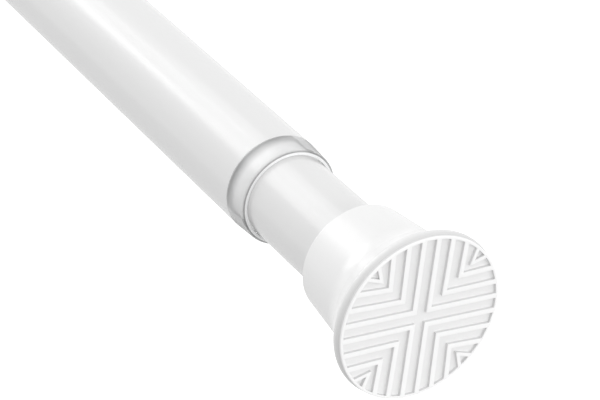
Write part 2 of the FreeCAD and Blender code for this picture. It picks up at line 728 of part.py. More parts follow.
def build(document):
    """Build every sub-part of the rod, from the fixed end to the sliding end."""
    sizes = SizeSheet(document, DRIVING_SIZES)
    layout = Layout(sizes)
    sliding = {"x": sizes.RodLength, "rotation": FACING_BACK}
    pad_turn = FreeCAD.Rotation(ROD_AXIS, sizes.InnerPadTurn.number)
    sliding_pad = {"x": sizes.RodLength, "rotation": pad_turn * FACING_BACK}
    inner_end = sizes.RodLength - sizes.TubeSeat
    shaft_bore = sizes.ShaftRadius + sizes.FaceGap
    guide_bore = guide_radius(sizes) + sizes.StaticGap
    spring_washer = {"thickness": sizes.SpringWasherThickness, "outside": sizes.SpringWasherRadius}
    return [
        grip_pad(document, "outer_grip_pad", sizes),
        end_cap(document, "outer_end_cap", sizes, sizes.OuterTubeRadius),
        tube(document, "outer_tube", sizes, sizes.OuterTubeRadius, sizes.TubeSeat, layout.mouth),
        mouth_collar(document, "mouth_collar", sizes, layout),
        hexagon_nut(document, "shaft_end_nut", sizes, layout.end_nut, sizes.EndNutThickness),
        wedge_nut(document, "wedge_nut", sizes, layout),
        expander_sleeve(document, "expander_sleeve", sizes, layout),
        washer(
            document,
            "thrust_washer",
            layout.thrust_washer,
            thickness=sizes.ThrustWasherThickness,
            outside=sizes.ThrustWasherRadius,
            bore=shaft_bore,
        ),
        lock_hub(document, "lock_hub", sizes, layout),
        hub_pin(document, "hub_pin", sizes, layout),
        lock_shaft(document, "lock_shaft", sizes, layout),
        washer(
            document,
            "front_spring_washer",
            layout.front_washer,
            bore=shaft_bore,
            **spring_washer,
        ),
        pressure_spring(document, "pressure_spring", sizes, layout),
        washer(
            document,
            "rear_spring_washer",
            layout.rear_washer,
            bore=guide_bore,
            **spring_washer,
        ),
        tail_plug(document, "tail_plug", sizes, layout),
        washer(
            document,
            "stop_washer",
            layout.stop_washer,
            thickness=sizes.StopWasherThickness,
            outside=sizes.StopWasherRadius,
            bore=shaft_bore,
        ),
        hexagon_nut(document, "stop_nut", sizes, layout.stop_nut, sizes.StopNutThickness),
        tube(document, "inner_tube", sizes, sizes.InnerTubeRadius, layout.inner_tube, inner_end),
        end_cap(document, "inner_end_cap", sizes, sizes.InnerTubeRadius, **sliding),
        grip_pad(document, "inner_grip_pad", sizes, **sliding_pad),
    ]


def check(document, pieces):
    """Stop with a plain message if an object failed or a sub-part isn't one valid solid."""
    for item in document.Objects:
        if {"Invalid", "Error"} & set(item.State):
            raise RuntimeError(f"{item.Name} failed: {item.State}")
    for piece in pieces:
        shape = piece.Shape
        if shape.isNull() or not shape.isValid() or len(shape.Solids) != 1:
            raise RuntimeError(f"{piece.Label} isn't one valid solid")


def main():
    """Build the rod, check it and write one STEP file for each sub-part."""
    document = FreeCAD.newDocument("SpringTensionRod")
    pieces = build(document)
    document.recompute()
    check(document, pieces)
    os.makedirs("parts", exist_ok=True)
    for piece in pieces:
        piece.Shape.exportStep(f"parts/{piece.Label}.step")
        print(f"{piece.Label}: {piece.Shape.Volume:.1f} mm3")


main()
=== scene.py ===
"""Looks of a spring tension rod.

The rod lies along X, from the fixed wall at x = 0 to the sliding end, with +Z up. Every visible
piece is worked out here as a surface on a numpy grid, at the size and place of the piece of the
frame that it stands for, and so is the spring. The rest of the lock keeps the frame's own meshes
and gets its finishes here.
"""
import json
import logging
import math
from collections.abc import Callable, Iterable
from dataclasses import dataclass
from enum import Enum

import bmesh
import bpy
import numpy as np
from mathutils import Matrix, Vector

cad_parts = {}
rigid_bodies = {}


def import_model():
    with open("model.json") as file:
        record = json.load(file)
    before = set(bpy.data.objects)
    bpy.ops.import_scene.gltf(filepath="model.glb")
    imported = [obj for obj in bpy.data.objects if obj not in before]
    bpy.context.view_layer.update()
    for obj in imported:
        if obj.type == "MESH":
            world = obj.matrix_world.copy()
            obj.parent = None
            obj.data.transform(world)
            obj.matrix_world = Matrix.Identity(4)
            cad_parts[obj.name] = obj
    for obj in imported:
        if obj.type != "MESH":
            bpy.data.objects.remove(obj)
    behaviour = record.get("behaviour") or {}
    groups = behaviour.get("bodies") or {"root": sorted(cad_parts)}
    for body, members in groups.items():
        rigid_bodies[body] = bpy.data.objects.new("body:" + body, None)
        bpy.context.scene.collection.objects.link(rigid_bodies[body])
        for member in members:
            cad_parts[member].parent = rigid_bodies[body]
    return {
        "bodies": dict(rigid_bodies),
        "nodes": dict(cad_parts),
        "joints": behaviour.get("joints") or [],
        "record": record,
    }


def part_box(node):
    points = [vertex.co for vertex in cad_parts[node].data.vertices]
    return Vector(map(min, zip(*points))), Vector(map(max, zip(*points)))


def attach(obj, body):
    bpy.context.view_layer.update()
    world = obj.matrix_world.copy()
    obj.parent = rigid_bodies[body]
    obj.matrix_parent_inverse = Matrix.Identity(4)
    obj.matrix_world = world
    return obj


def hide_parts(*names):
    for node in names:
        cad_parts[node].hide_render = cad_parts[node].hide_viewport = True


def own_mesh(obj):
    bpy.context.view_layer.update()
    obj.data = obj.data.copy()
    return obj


LOG = logging.getLogger("tension_rod")
MM = 0.001
TURN = 2 * math.pi
ROUND_SEGMENTS = 240
ROUNDING_STEP = 12
BEND_STEPS = 24
POCKET_STEPS = 24
WALL_STEPS = 4
RIM_STEP = math.radians(1.5)
SUPPORT_DISTANCE = 0.12 * MM
WELD_DISTANCE = 1e-7
SHARP_ANGLE = math.radians(40)
PAD_TURN = math.radians(-6.93)
PATCH_DETAIL = 3.0
GRAIN_DETAIL = 2.0
LEAST_ROUGHNESS = 0.02
WHITE = (1.0, 1.0, 1.0, 1.0)
Socket = bpy.types.NodeSocket
Pairs = tuple[tuple[float, float], ...]
Loop = list[bmesh.types.BMEdge]


class Body(Enum):
    """The rigid bodies of the rod that the pieces made here ride on."""

    OUTER = "outer"
    SHAFT = "shaft"
    INNER = "inner"


class Slot(Enum):
    """The finishes that the record names."""

    PAINT = "white_paint"
    PLASTIC = "white_plastic"
    RUBBER = "white_rubber"
    CLEAR = "clear_plastic"
    NYLON = "lock_plastic"
    SPRING = "spring_steel"
    ZINC = "zinc_steel"


class End(Enum):
    """The two ends of the rod. A value names the body there and begins its pieces' names."""

    FIXED = "outer"
    SLIDING = "inner"


# Shader maths


class Graph:
    """A material's node tree, with short ways to add nodes and link them."""

    def __init__(self, tree: bpy.types.NodeTree) -> None:
        """Wrap an empty node tree.

        Args:
            tree: The node tree of a material or of the world.
        """
        self.tree = tree
        self.tree.nodes.clear()

    def node(self, kind: str, settings: dict | None = None, **inputs: object) -> bpy.types.Node:
        """Add a node.

        Args:
            kind: The node's type, such as ShaderNodeMath.
            settings: Properties that are set before the sockets are filled.
            inputs: A value, a Sock or a node socket for each input, by its name with _ for
                spaces, or by its number with a leading n.

        Returns:
            The new node.
        """
        made = self.tree.nodes.new(kind)
        for name, value in (settings or {}).items():
            setattr(made, name, value)
        for name, value in inputs.items():
            numbered = name[0] == "n" and name[1:].isdigit()
            target = made.inputs[int(name[1:]) if numbered else name.replace("_", " ")]
            source = value.socket if isinstance(value, Sock) else value
            if isinstance(source, Socket):
                self.tree.links.new(source, target)
            else:
                target.default_value = source
        return made

    def sock(
        self, kind: str, output: str | int = 0, settings: dict | None = None, **inputs: object
    ) -> "Sock":
        """Add a node and return one of its outputs, ready for maths.

        Args:
            kind: The node's type.
            output: The output's name or number.
            settings: Properties of the node.
            inputs: As for node().

        Returns:
            The output, wrapped.
        """
        return Sock(self, self.node(kind, settings, **inputs).outputs[output])

    def ramp(self, value: "Sock", stops: Pairs) -> "Sock":
        """Map a value through a piecewise linear curve.

        Args:
            value: The value, from 0 to 1.
            stops: (place, level) pairs in rising order.

        Returns:
            The mapped value.
        """
        made = self.node("ShaderNodeValToRGB", Fac=value)
        elements = made.color_ramp.elements
        while len(elements) < len(stops):
            elements.new(0.5)
        for element, (place, level) in zip(elements, stops):
            element.position = place
            element.color = (level, level, level, 1.0)
        return Sock(self, made.outputs["Color"])

    def place(self) -> Socket:
        """Return the Object coordinates."""
        return self.node("ShaderNodeTexCoord").outputs["Object"]

    def place_parts(self) -> list["Sock"]:
        """Return the X, Y and Z of the Object coordinates."""
        parts = self.node("ShaderNodeSeparateXYZ", Vector=self.place())
        return [Sock(self, output) for output in parts.outputs]

    def along_and_around(self) -> tuple["Sock", "Sock"]:
        """Return the distance along the rod and the distance from its axis, in metres."""
        x, y, z = self.place_parts()
        return x, (y * y + z * z).root()

    def ray_kinds(self) -> tuple["Sock", "Sock"]:
        """Return 1 for rays from the camera, and 1 for rays from a reflection."""
        path = self.node("ShaderNodeLightPath")
        return Sock(self, path.outputs["Is Camera Ray"]), Sock(self, path.outputs["Is Glossy Ray"])


def maths(operation: str, swapped: bool = False) -> Callable[..., "Sock"]:
    """Return a method that adds a Math node for a socket and the values it is given.

    Args:
        operation: The node's operation.
        swapped: Whether the socket comes last, as in 1 - mask.

    Returns:
        The method, which returns the node's result.
    """
    order = -1 if swapped else 1

    def method(own: "Sock", *others: object) -> "Sock":
        """Return the result of the Math node."""
        inputs = {f"n{place}": value for place, value in enumerate((own, *others)[::order])}
        return own.graph.sock("ShaderNodeMath", 0, {"operation": operation}, **inputs)

    return method


class Sock:
    """An output socket on which shader maths is written as ordinary expressions.

    The comparisons below() and above() give 1 where they hold and 0 elsewhere.
    """

    __add__ = maths("ADD")
    __radd__ = maths("ADD", swapped=True)
    __sub__ = maths("SUBTRACT")
    __rsub__ = maths("SUBTRACT", swapped=True)
    __mul__ = maths("MULTIPLY")
    __rmul__ = maths("MULTIPLY", swapped=True)
    least = maths("MINIMUM")
    most = maths("MAXIMUM")
    below = maths("LESS_THAN")
    above = maths("GREATER_THAN")
    root = maths("SQRT")

    def __init__(self, graph: Graph, socket: Socket) -> None:
        """Wrap an output socket of a graph."""
        self.graph = graph
        self.socket = socket

    def clamped(self, low: float, high: float) -> "Sock":
        """Return the value held between two limits."""
        return self.most(low).least(high)


# Finishes


@dataclass(frozen=True)
class Finish:
    """A surface finish whose colour, roughness and relief vary a little, as on the real piece.

    Attributes:
        name: The material's name.
        colour: Mean colour, linear.
        roughness: Mean roughness.
        colour_change: How much the lightness varies over the surface.
        roughness_change: How much the roughness varies.
        patch_size: Size of the broad variation, in metres.
        grain_size: Size of the fine relief, in metres.
        grain_depth: Depth of the fine relief, in metres.
        stretch: How many times longer the grain is along the rod than across it.
        metallic: 1 for bare metal.
        coat: Weight of the clear top coat.
        coat_roughness: Roughness of the top coat.
        index: Index of refraction.
        sheen: Weight of the soft sheen of rubber.
    """

    name: str
    colour: tuple[float, float, float]
    roughness: float
    colour_change: float = 0.02
    roughness_change: float = 0.05
    patch_size: float = 30 * MM
    grain_size: float = 0.6 * MM
    grain_depth: float = 0.002 * MM
    stretch: float = 1.0
    metallic: float = 0.0
    coat: float = 0.0
    coat_roughness: float = 0.05
    index: float = 1.5
    sheen: float = 0.0

    def material(self) -> bpy.types.Material:
        """Build the material.

        Returns:
            The new material.
        """
        made = bpy.data.materials.new(self.name)
        made.use_nodes = True
        graph = Graph(made.node_tree)
        stretch = (1 / self.stretch, 1.0, 1.0)
        place = graph.sock("ShaderNodeMapping", Vector=graph.place(), Scale=stretch)
        patches, grain = (
            graph.sock("ShaderNodeTexNoise", "Fac", Vector=place, Scale=1 / size, Detail=detail)
            for size, detail in ((self.patch_size, PATCH_DETAIL), (self.grain_size, GRAIN_DETAIL))
        )
        look, alpha = self.look(graph)
        # The colour factor is the random tone times the painted shade that look() gives.
        shade = (1.0 + (patches - 0.5) * (2 * self.colour_change)) * look
        mix = {"data_type": "RGBA", "blend_type": "MULTIPLY"}
        tint = graph.sock("ShaderNodeMix", "Result", mix, n0=1.0, n6=(*self.colour, 1.0), n7=shade)
        rough = self.roughness + (patches - 0.5) * (2 * self.roughness_change)
        relief = graph.node("ShaderNodeBump", Height=grain, Strength=1.0, Distance=self.grain_depth)
        shader = graph.node(
            "ShaderNodeBsdfPrincipled",
            Base_Color=tint,
            Roughness=rough.clamped(LEAST_ROUGHNESS, 1.0),
            Normal=relief.outputs["Normal"],
            Alpha=alpha,
            Metallic=self.metallic,
            IOR=self.index,
            Coat_Weight=self.coat,
            Coat_Roughness=self.coat_roughness,
            Sheen_Weight=self.sheen,
        )
        surface = self.surface(graph, shader.outputs["BSDF"])
        graph.node("ShaderNodeOutputMaterial", Surface=surface)
        return made

    def surface(self, graph: Graph, shader: Socket) -> Socket:
        """Return the output for the material's surface, given the plain shader's output."""
        return shader

    def look(self, graph: Graph) -> tuple[Sock | float, Sock | float]:
        """Return a factor of the colour for painted shade, here none, and how opaque the piece is.
        """
        return 1.0, 1.0


@dataclass(frozen=True)
class PaintedShadeFinish(Finish):
    """A finish whose brightness, a painted shade, follows the depth from the wall, inside and
    outside a radius.

    Attributes:
        rod_length: The rod's length, which gives the depth at both ends.
        edge_radius: Radius between the inside and the outside.
        inner_depth: Depth that counts as 1 inside.
        inner_painted_shades: (share of that depth, brightness) pairs inside.
        outer_depth: Depth that counts as 1 outside.
        outer_painted_shades: (share of that depth, brightness) pairs outside.
    """

    rod_length: float = 0.4
    edge_radius: float = 20 * MM
    inner_depth: float = 1.0
    inner_painted_shades: Pairs = ((0.0, 1.0), (1.0, 1.0))
    outer_depth: float = 1.0
    outer_painted_shades: Pairs = ((0.0, 1.0), (1.0, 1.0))

    def look(self, graph: Graph) -> tuple[Sock | float, Sock | float]:
        """Work out the painted shade by the depth.

        Args:
            graph: The material's graph.

        Returns:
            A factor of the colour that carries the painted shade, and a full opacity.
        """
        along, around = graph.along_and_around()
        depth = along.least(self.rod_length - along)
        inner = graph.ramp(depth * (1 / self.inner_depth), self.inner_painted_shades)
        outer = graph.ramp(depth * (1 / self.outer_depth), self.outer_painted_shades)
        inside = around.below(self.edge_radius)
        return inner * inside + outer * (1.0 - inside), 1.0


@dataclass(frozen=True)
class ClearFinish(Finish):
    """A clear moulding: grey at its root, clear along its nose, with a white front ring.

    Its colour carries painted shade. The grey root is the painted shade of the tube's mouth, seen
    through the clear nose. The grey edge, where one looks along the nose, is a painted shade in
    place of its dark refracted edge. The dark lines at the ring's bore and round its bright middle
    are painted shade, and the ring is dark to reflections, a painted shade on the tube in front of
    it.

    Stops are (place, value) pairs. A place is the share of the way along the nose, or across the
    front ring from its bore, or the turn: 0 where one looks straight at the surface and 1 where
    one looks along it.

    Attributes:
        mouth: Where the collar's shoulder meets the tube's end, along the rod.
        front: Where its front face lies.
        front_radius: Radius of the front face.
        bore: Radius of its bore.
        ring_start: Share of the way along at which the front ring begins.
        ring_end: Share of the way across at which it ends.
        skin_start: Share of the way across beyond which the outer skin lies.
        nose_painted_shades: Brightness along the nose.
        ring_painted_shades: Brightness across the front ring.
        edge_painted_shades: Brightness of the nose's grey edge, by the turn.
        slant_painted_shades: Least brightness of the front ring, by the turn.
        nose_alphas: Opacity along the nose.
        ring_alphas: Opacity across the front ring.
        edge_shares: How much the grey edge shows, by the turn.
        clear_alpha: Least opacity of the nose.
        edge_alpha: Opacity of its grey edge.
        shadow_share: How much of the nose's opacity counts for light that passes through.
        ring_shadow_share: The same for the front ring.
        ring_painted_mirror_shade: How bright the front ring is where the glossy tube mirrors it.
        gloss_limit: Largest share of the reflections over the clear skin.
    """

    mouth: float = 0.0
    front: float = 7.1 * MM
    front_radius: float = 12.25 * MM
    bore: float = 11.05 * MM
    ring_start: float = 0.92
    ring_end: float = 0.97
    skin_start: float = 0.5
    # Painted shade: the grey root, where the tube's mouth shades what the nose covers.
    nose_painted_shades: Pairs = (
        (0.0, 0.8), (0.02, 0.8), (0.06, 0.26), (0.12, 0.3),
        (0.2, 0.48), (0.3, 0.68), (0.5, 1.0), (0.92, 0.75),
    )
    # Painted shade: dark lines at the ring's bore and round its bright middle.
    ring_painted_shades: Pairs = (
        (0.0, 0.1), (0.01, 0.15), (0.05, 1.0), (0.5, 1.0), (0.62, 0.28), (0.76, 0.2), (0.94, 0.7),
    )
    # Painted shade where one looks along the nose, in place of its dark refracted edge, and the
    # least brightness of the ring's painted dark lines seen at a slant.
    edge_painted_shades: Pairs = ((0.6, 0.36), (0.66, 0.62), (0.76, 0.55), (0.84, 0.22), (1.0, 0.16))
    slant_painted_shades: Pairs = ((0.3, 0.0), (0.6, 0.6))
    # The nose is nearly opaque near its root, so that its painted shade covers what lies under it.
    nose_alphas: Pairs = (
        (0.0, 0.0), (0.02, 0.3), (0.05, 0.95), (0.15, 0.85), (0.28, 0.65), (0.5, 0.52), (0.9, 0.5),
    )
    ring_alphas: Pairs = ((0.0, 0.95), (0.44, 0.95), (0.6, 0.85), (0.8, 0.8), (0.97, 0.5))
    edge_shares: Pairs = ((0.0, 0.0), (0.6, 0.0), (0.68, 1.0))
    clear_alpha: float = 0.04
    edge_alpha: float = 0.85
    shadow_share: float = 0.12
    ring_shadow_share: float = 0.3
    # Painted shade in reflections: the front ring looks dark to glossy rays.
    ring_painted_mirror_shade: float = 0.15
    gloss_limit: float = 0.15

    def places(self, graph: Graph) -> tuple[Sock, Sock, Sock]:
        """Return where a point lies on the collar.

        Args:
            graph: The material's graph.

        Returns:
            The share of the way along the nose, the share of the way across the front ring, and
            1 on that ring.
        """
        along, around = graph.along_and_around()
        share = ((along - self.mouth) * (1 / (self.front - self.mouth))).clamped(0.0, 1.0)
        across = ((around - self.bore) * (1 / (self.front_radius - self.bore))).clamped(0.0, 1.0)
        return share, across, share.above(self.ring_start) * across.below(self.ring_end)

    def look(self, graph: Graph) -> tuple[Sock | float, Sock | float]:
        """Work out the painted shade and the opacity.

        The nose is dark and opaque at its root, and where one looks along it: painted shade of the
        tube's mouth and of its refracted edge. The front ring is opaque and bright, with painted
        dark lines round its bright middle, and dark to reflections, a painted shade on the tube.

        Args:
            graph: The material's graph.

        Returns:
            A factor of the colour that carries the painted shade, and the opacity.
        """
        share, across, ring = self.places(graph)
        camera, glossy = graph.ray_kinds()
        turn = graph.sock("ShaderNodeLayerWeight", "Facing", Blend=0.5)
        edge = graph.ramp(turn, self.edge_shares)
        # Painted shade along the nose, and at its edge where one looks along the surface.
        nose = graph.ramp(share, self.nose_painted_shades) * (1.0 - edge)
        side = nose + graph.ramp(turn, self.edge_painted_shades) * edge
        # Painted dark lines on the front ring, lighter where it is seen at a slant.
        face = graph.ramp(across, self.ring_painted_shades).most(graph.ramp(turn, self.slant_painted_shades))
        # Painted shade in reflections: the ring looks dark to glossy rays, which shades the tube in
        # front of it.
        mirrored = 1.0 - glossy * (1.0 - self.ring_painted_mirror_shade)
        shade = side * (1.0 - ring) + face * mirrored * ring
        least = self.clear_alpha + edge * (self.edge_alpha - self.clear_alpha)
        passing = self.shadow_share + camera * (1.0 - self.shadow_share)
        skin = graph.ramp(share, self.nose_alphas).most(least) * across.above(self.skin_start)
        solid = self.ring_shadow_share + (camera + glossy) * (1.0 - self.ring_shadow_share)
        rim = graph.ramp(across, self.ring_alphas) * solid
        return shade, skin * passing * (1.0 - ring) + rim * ring

    def surface(self, graph: Graph, shader: Socket) -> Socket:
        """Return the shader with the clear skin's reflections over it.

        Args:
            graph: The material's graph.
            shader: The plain shader's output.

        Returns:
            The output for the material's surface.
        """
        skin = self.places(graph)[1].above(self.skin_start)
        gloss = graph.node("ShaderNodeBsdfGlossy", Color=WHITE, Roughness=self.roughness)
        fresnel = graph.sock("ShaderNodeFresnel", "Fac", IOR=self.index)
        share = fresnel.clamped(0.0, self.gloss_limit) * skin * graph.ray_kinds()[0]
        both = graph.node("ShaderNodeMixShader", n0=share, n1=shader, n2=gloss.outputs[0])
        return both.outputs[0]


def finishes(rod_length: float, mouth: float, front: float) -> dict[Slot, Finish]:
    """Return the finish of each material slot.

    Args:
        rod_length: The rod's length.
        mouth: Where the outer tube ends, along the rod.
        front: Where the collar ends.

    Returns:
        A finish for each slot.
    """
    return {
        Slot.PAINT: Finish(
            "glossy_white_paint", (0.78, 0.78, 0.78), roughness=0.24, colour_change=0.006,
            roughness_change=0.02, patch_size=45 * MM, grain_size=1.6 * MM, grain_depth=0.003 * MM,
            stretch=2.5, coat=0.25, coat_roughness=0.12,
        ),
        # The cap's flange, outside 18.5 mm, is darker towards the pad: painted shade where the pad
        # meets it.
        Slot.PLASTIC: PaintedShadeFinish(
            "glossy_white_moulding", (0.88, 0.88, 0.88), roughness=0.26, colour_change=0.006,
            roughness_change=0.03, patch_size=18 * MM, grain_size=0.5 * MM, grain_depth=0.0015 * MM,
            rod_length=rod_length, edge_radius=18.5 * MM, outer_depth=3.6 * MM,
            outer_painted_shades=((0.25, 0.8), (0.35, 0.8), (0.55, 0.92), (1.0, 1.0)),
        ),
        # The pad's groove walls and floors are darker than its ridge tops, and its side is darker
        # towards the cap: painted shade in the grooves and at the joint.
        Slot.RUBBER: PaintedShadeFinish(
            "soft_white_rubber", (0.95, 0.95, 0.95), roughness=0.48, colour_change=0.01,
            roughness_change=0.05, patch_size=9 * MM, grain_size=0.25 * MM, grain_depth=0.004 * MM,
            sheen=0.05, rod_length=rod_length, edge_radius=19.3 * MM, inner_depth=1.7 * MM,
            inner_painted_shades=((0.0, 1.0), (0.04, 1.0), (0.12, 0.77), (0.42, 0.77), (0.49, 0.9)),
            outer_depth=0.9 * MM, outer_painted_shades=((0.3, 1.0), (0.5, 0.76)),
        ),
        Slot.CLEAR: ClearFinish(
            "clear_moulding", (0.97, 0.975, 0.98), roughness=0.3, colour_change=0.004,
            roughness_change=0.01, grain_size=0.8 * MM, grain_depth=0.001 * MM, index=1.49,
            mouth=mouth, front=front,
        ),
        Slot.NYLON: Finish(
            "natural_nylon", (0.72, 0.71, 0.67), roughness=0.5, colour_change=0.03,
            grain_size=0.3 * MM, grain_depth=0.006 * MM,
        ),
        Slot.SPRING: Finish(
            "drawn_spring_wire", (0.42, 0.43, 0.45), roughness=0.36, colour_change=0.12,
            roughness_change=0.1, patch_size=6 * MM, grain_size=0.2 * MM, grain_depth=0.004 * MM,
            metallic=1.0,
        ),
        Slot.ZINC: Finish(
            "zinc_plated_steel", (0.62, 0.63, 0.65), roughness=0.33, colour_change=0.1,
            roughness_change=0.08, patch_size=5 * MM, grain_size=0.3 * MM, grain_depth=0.003 * MM,
            metallic=1.0,
        ),
    }


# Outlines and surfaces


@dataclass(frozen=True)
class Corner:
    """A corner of a turned outline.

    Attributes:
        x: Place along the rod.
        r: Radius.
        rounding: Radius of the rounding at this corner.
        bend: Radius of the arc that leads to this corner, or 0 for a straight line. It is
            positive where the arc bulges to the right of the way.
    """

    x: float
    r: float
    rounding: float = 0.0
    bend: float = 0.0


def arc_points(start: np.ndarray, finish: np.ndarray, bend: float, steps: int) -> np.ndarray:
    """Return points on the short arc between two points, without its start.

    The centre lies on the chord's perpendicular, at the height that the radius asks for. The
    angle grows evenly from the start to the finish.

    Args:
        start: First point.
        finish: Last point.
        bend: Radius, positive where the arc bulges to the right of the way.
        steps: Number of points.

    Returns:
        An array of points, the finish included.
    """
    chord = finish - start
    length = np.hypot(*chord)
    left = np.array([-chord[1], chord[0]]) / length
    height = math.sqrt(max(bend**2 - (length / 2) ** 2, 0.0))
    centre = (start + finish) / 2 + left * math.copysign(height, bend)
    first = math.atan2(*(start - centre)[::-1])
    last = math.atan2(*(finish - centre)[::-1])
    sweep = (last - first + math.pi) % TURN - math.pi
    angles = first + sweep * np.arange(1, steps + 1) / steps
    return centre + abs(bend) * np.stack([np.cos(angles), np.sin(angles)], 1)


def rounded_corner(
    before: np.ndarray, corner: np.ndarray, after: np.ndarray, radius: float
) -> np.ndarray:
    """Return the points of a rounding that touches both sides of a corner.

    The touching points lie radius / tan(half the inner angle) from the corner, and the points
    between them follow the circle that touches both sides.

    Args:
        before: A point on the side that leads to the corner.
        corner: The corner.
        after: A point on the side that leaves it.
        radius: Radius of the rounding.

    Returns:
        An array of points from one side to the other.
    """
    back = (before - corner) / np.hypot(*(before - corner))
    onward = (after - corner) / np.hypot(*(after - corner))
    inner = math.acos(np.clip(back @ onward, -1.0, 1.0))
    reach = radius / math.tan(inner / 2)
    start, finish = corner + back * reach, corner + onward * reach
    cross = back[0] * onward[1] - back[1] * onward[0]
    steps = max(3, round(math.degrees(math.pi - inner) / ROUNDING_STEP))
    curve = arc_points(start, finish, math.copysign(radius, -cross), steps)
    return np.vstack([start, curve])


def outline_points(corners: tuple[Corner, ...], closed: bool) -> np.ndarray:
    """Return an outline's points, with its arcs and roundings drawn.

    Args:
        corners: The outline's corners in order.
        closed: Whether the last corner joins the first.

    Returns:
        An array of (place, radius) points.
    """
    points: list[np.ndarray] = []
    roundings: list[float] = []
    for number, corner in enumerate(corners):
        here = np.array([corner.x, corner.r])
        if corner.bend and (number or closed):
            previous = corners[number - 1]
            curve = arc_points(np.array([previous.x, previous.r]), here, corner.bend, BEND_STEPS)
            points.extend(curve[:-1])
            roundings.extend([0.0] * (len(curve) - 1))
        points.append(here)
        roundings.append(corner.rounding)
    count = len(points)
    drawn: list[np.ndarray] = []
    for number, (here, rounding) in enumerate(zip(points, roundings)):
        if not rounding:
            drawn.append(here[None])
            continue
        before, after = points[number - 1], points[(number + 1) % count]
        drawn.append(rounded_corner(before, here, after, rounding))
    return supported(np.vstack(drawn), closed)


def supported(points: np.ndarray, closed: bool) -> np.ndarray:
    """Add a point near both ends of each long straight run, so that smooth shading stays flat.

    Args:
        points: The outline's points.
        closed: Whether the outline is closed.

    Returns:
        The points with the new ones between them.
    """
    following = np.roll(points, -1, 0)
    lengths = np.hypot(*(following - points).T)
    along = np.minimum(SUPPORT_DISTANCE / np.maximum(lengths, WELD_DISTANCE), 0.5)
    near = points + (following - points) * along[:, None]
    far = following - (following - points) * along[:, None]
    long_run = lengths > 3 * SUPPORT_DISTANCE
    if not closed:
        long_run[-1] = False
    stacked = np.stack([points, near, far], 1)
    keep = np.stack([np.ones_like(long_run), long_run, long_run], 1)
    return stacked[keep]


def pushed_out(outline: np.ndarray, distance: float) -> np.ndarray:
    """Return an outline pushed outwards by a distance, with mitred corners.

    A corner between sides with outward normals a and b moves by distance (a + b) / (1 + a.b),
    which keeps both sides parallel to themselves.

    Args:
        outline: Counter-clockwise points.
        distance: How far out, negative for inwards.

    Returns:
        The moved points.
    """
    onward = np.roll(outline, -1, 0) - outline
    onward /= np.hypot(*onward.T)[:, None]
    normal = np.stack([onward[:, 1], -onward[:, 0]], 1)
    before = np.roll(normal, 1, 0)
    dot = (normal * before).sum(1)
    return outline + distance * (normal + before) / (1 + dot)[:, None]


def walls_between(outline: np.ndarray, levels: Pairs) -> np.ndarray:
    """Return the grid of a pocket's walls: its outline pushed out and put at each level's depth.

    Args:
        outline: Counter-clockwise (Y, Z) points.
        levels: (distance outwards, depth) pairs.

    Returns:
        An array of shape (levels, points, 3).
    """
    rows = []
    for distance, depth in levels:
        flat = pushed_out(outline, distance)
        rows.append(np.column_stack([np.full(len(flat), depth), flat]))
    return np.stack(rows)


def turned_by(quarters: int) -> np.ndarray:
    """Return the matrix that turns row vectors by a number of quarter turns.

    Args:
        quarters: How many.

    Returns:
        A 2 by 2 matrix.
    """
    angle = quarters * math.pi / 2
    cosine, sine = round(math.cos(angle)), round(math.sin(angle))
    return np.array([[cosine, sine], [-sine, cosine]])


def end_matrix(end: End, rod_length: float, turn: float = 0.0) -> np.ndarray:
    """Return the matrix that puts a piece, built from a wall at x = 0 inwards, at its end.

    The sliding end is half a turn about Z from the fixed one, and a pad may be turned about X.

    Args:
        end: Which end.
        rod_length: The rod's length.
        turn: Turn about the rod, in radians.

    Returns:
        A 4 by 4 matrix.
    """
    matrix = np.eye(4)
    cosine, sine = math.cos(turn), math.sin(turn)
    matrix[:3, :3] = [[1, 0, 0], [0, cosine, -sine], [0, sine, cosine]]
    if end is End.SLIDING:
        matrix[:3, :3] = matrix[:3, :3] @ np.diag([-1, -1, 1])
        matrix[0, 3] = rod_length
    return matrix


def scene_object(name: str, data: bpy.types.ID) -> bpy.types.Object:
    """Put new data into the scene.

    Args:
        name: The object's name.
        data: A mesh, camera or lamp.

    Returns:
        The new object.
    """
    made = bpy.data.objects.new(name, data)
    bpy.context.scene.collection.objects.link(made)
    return made


